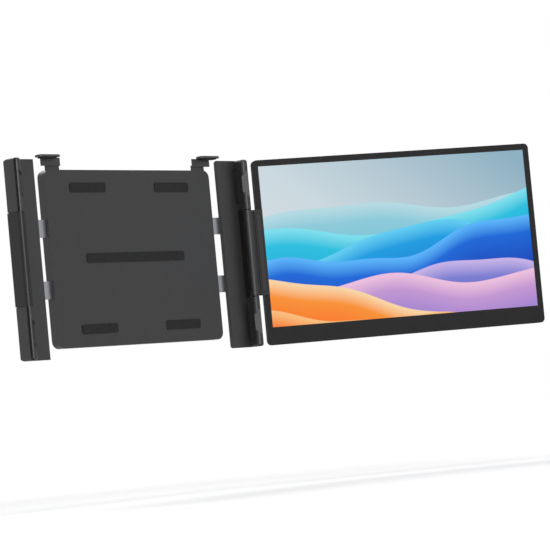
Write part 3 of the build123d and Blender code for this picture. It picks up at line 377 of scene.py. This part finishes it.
def lit_picture(tree):
    """Layered rolling ridges under a pale sky."""
    (near, low), (far, high) = reach("lcd_panel")
    across = tree.span(tree.along(), near, far)
    up = tree.span(tree.height(), low, high)
    haze_across = tree.math("MULTIPLY", across, SKY_ACROSS)
    haze = tree.math("ADD", haze_across, tree.math("MULTIPLY", up, SKY_UP))
    picture = tree.ramp(haze, *[(position, linear(code)) for position, code in SKY])
    for crest, slope, long_wave, short_wave, rim, body, foot in BANDS:
        height = tree.math("ADD", tree.math("MULTIPLY", across, slope), crest)
        for size, count, phase in (long_wave, short_wave):
            height = tree.math("ADD", height, wave(tree, across, size, count, phase))
        below = tree.math("SUBTRACT", height, up)
        stops = [(0.0, rim), (RIM_END, rim), (BODY_AT, body), (1.0, foot)]
        depth = tree.span(below, 0.0, BAND_DEPTH)
        colours = tree.ramp(depth, *[(position, linear(code)) for position, code in stops])
        picture = tree.mix(tree.span(below, 0.0, CREST_EDGE), picture, colours)
    return picture


def screen(name):
    """The lit panel behind an anti-glare film."""
    tree = Tree(name)
    tree.finish("Emission Color", lit_picture(tree))
    tree.finish("Emission Strength", SCREEN_GLOW)
    tree.finish("Base Color", SCREEN_DARK)
    film = tree.noise(5200.0, 1.0)
    tree.gloss(film, 0.40, 0.48)
    tree.finish("Specular IOR Level", 0.08)
    tree.bump(film, 0.15, 0.00001)
    return tree.material


# ---------------------------------------------------------------- finishes of the nodes
def slot_materials():
    """One finished material for each slot of the record."""
    return {
        "shell_plastic": moulded(
            "shell_plastic_grained_painted_shade", "1f1f20", 0.40, specular=0.42, has_leaf=True),
        "middle_plastic": moulded("middle_plastic_grained", "0e0e0f", 0.37, specular=0.30),
        "washer_plastic": moulded(
            "washer_plastic_smooth", "060606", 0.8, grain=0.0006, relief=0.1, specular=0.1),
        "hook_plastic": moulded("hook_plastic_grained", "2a2a2b", 0.42),
        "bezel_plastic": moulded(
            "bezel_plastic_fine", "202020", 0.60, grain=0.00022, relief=0.2, specular=0.12),
        "cover_plastic": moulded("cover_plastic_grained", "141415", 0.62, specular=0.12),
        "button_plastic": moulded(
            "button_plastic_satin", "1d1d1f", 0.38, grain=0.0002, relief=0.15),
        "rubber": rubber("rubber_pitted", "161617"),
        "slip_plastic": moulded(
            "slip_plastic_smooth", "b9b8b2", 0.36, grain=0.0006, relief=0.1),
        "steel": brushed("steel_rolled", "9a9ba0", 0.34),
        "black_steel": powder_coat("black_steel_powder_coat", "1b1b1d"),
        "brass": brushed("brass_machined", "b8944e", 0.3),
        "screw_steel": blackened("screw_steel_blackened"),
        "leg_aluminium": brushed("leg_aluminium_anodised", "4a4b50", 0.38),
        "screen_glass": screen("screen_picture"),
        "sheet_plastic": clear_sheet("sheet_plastic_milky", "d8dbe0"),
        "lamp_plastic": clear_sheet("lamp_plastic_warm", "efe6b8"),
        "board": circuit("board_solder_mask"),
        "chip_plastic": moulded("chip_plastic_matt", "202022", 0.55),
    }


def dress_nodes():
    """Every CAD node takes its slot's material."""
    finishes = slot_materials()
    for entry in frame["record"]["subparts"]:
        mesh = nodes[entry["node"]].data
        mesh.materials.clear()
        mesh.materials.append(finishes[entry["material_slot"]])


# ---------------------------------------------------------------- studio
def seen_rays(tree):
    """1 for camera, glossy and transmission rays, which see the white background, 0 for others."""
    path = tree.nodes.new("ShaderNodeLightPath")
    seen = path.outputs["Is Camera Ray"]
    for kind in ("Is Glossy Ray", "Is Transmission Ray"):
        either = tree.nodes.new("ShaderNodeMath")
        either.operation = "MAXIMUM"
        tree.links.new(seen, either.inputs[0])
        tree.links.new(path.outputs[kind], either.inputs[1])
        seen = either.outputs[0]
    return seen


def floor_material():
    """White floor with the object's shadow, lifted to white far out for the rays that see it."""
    tree = Tree("floor_white")
    cloud = tree.noise(0.8, 2.0)
    tree.finish("Base Color", tree.ramp(cloud, (0.3, linear("e9e9ea")), (0.7, linear("efefef"))))
    tree.finish("Roughness", 0.9)
    distance = tree.new("ShaderNodeVectorMath", operation="LENGTH")
    tree.put(distance.inputs[0], tree.place)
    glow = tree.new("ShaderNodeEmission")
    lift = tree.span(distance.outputs["Value"], *GLOW_REACH, *GLOW_STRENGTH)
    tree.put(glow.inputs["Strength"], lift)
    lifted = tree.new("ShaderNodeAddShader")
    tree.put(lifted.inputs[0], tree.shader.outputs[0])
    tree.put(lifted.inputs[1], glow.outputs[0])
    pick = tree.new("ShaderNodeMixShader")
    tree.put(pick.inputs[0], seen_rays(tree.material.node_tree))
    tree.put(pick.inputs[1], tree.shader.outputs[0])
    tree.put(pick.inputs[2], lifted.outputs[0])
    tree.put(tree.output.inputs["Surface"], pick.outputs[0])
    return tree.material


def make_floor():
    """A flat square below the object, which is staging and no piece of it."""
    mesh = bpy.data.meshes.new("floor")
    sides = [(-1, -1), (1, -1), (1, 1), (-1, 1)]
    corners = [(x * FLOOR_HALF, y * FLOOR_HALF, FLOOR_Z) for x, y in sides]
    mesh.from_pydata(corners, [], [(0, 1, 2, 3)])
    floor = bpy.data.objects.new("floor", mesh)
    bpy.context.scene.collection.objects.link(floor)
    mesh.materials.append(floor_material())


def area_light(name, at, size, watts):
    """A soft rectangular lamp that looks at the object's middle."""
    data = bpy.data.lights.new(name, "AREA")
    data.shape = "RECTANGLE"
    data.size, data.size_y = size
    data.energy = watts
    light = bpy.data.objects.new(name, data)
    bpy.context.scene.collection.objects.link(light)
    light.location = at
    light.rotation_euler = (LAMP_AIM - Vector(at)).to_track_quat("-Z", "Y").to_euler()


def make_world():
    """Soft light from above over a dim horizon, and white for rays that see the background."""
    world = bpy.data.worlds.new("studio")
    bpy.context.scene.world = world
    world.use_nodes = True
    tree = world.node_tree
    background = tree.nodes["Background"]
    direction = tree.nodes.new("ShaderNodeSeparateXYZ")
    tree.links.new(tree.nodes.new("ShaderNodeTexCoord").outputs["Generated"], direction.inputs[0])
    room = tree.nodes.new("ShaderNodeMapRange")
    tree.links.new(direction.outputs["Z"], room.inputs[0])
    room.inputs["To Min"].default_value, room.inputs["To Max"].default_value = ROOM_STRENGTH
    strength = tree.nodes.new("ShaderNodeMapRange")
    tree.links.new(seen_rays(tree), strength.inputs[0])
    tree.links.new(room.outputs[0], strength.inputs["To Min"])
    strength.inputs["To Max"].default_value = 1.0
    background.inputs["Color"].default_value = (1.0, 1.0, 1.0, 1.0)
    tree.links.new(strength.outputs[0], background.inputs["Strength"])


def light_studio():
    """The world and the lamps."""
    make_world()
    for name, at, size, watts in LAMPS:
        area_light(name, at, size, watts)


place_camera()
dress_nodes()
make_floor()
light_studio()
bpy.context.scene.view_settings.view_transform = "Standard"
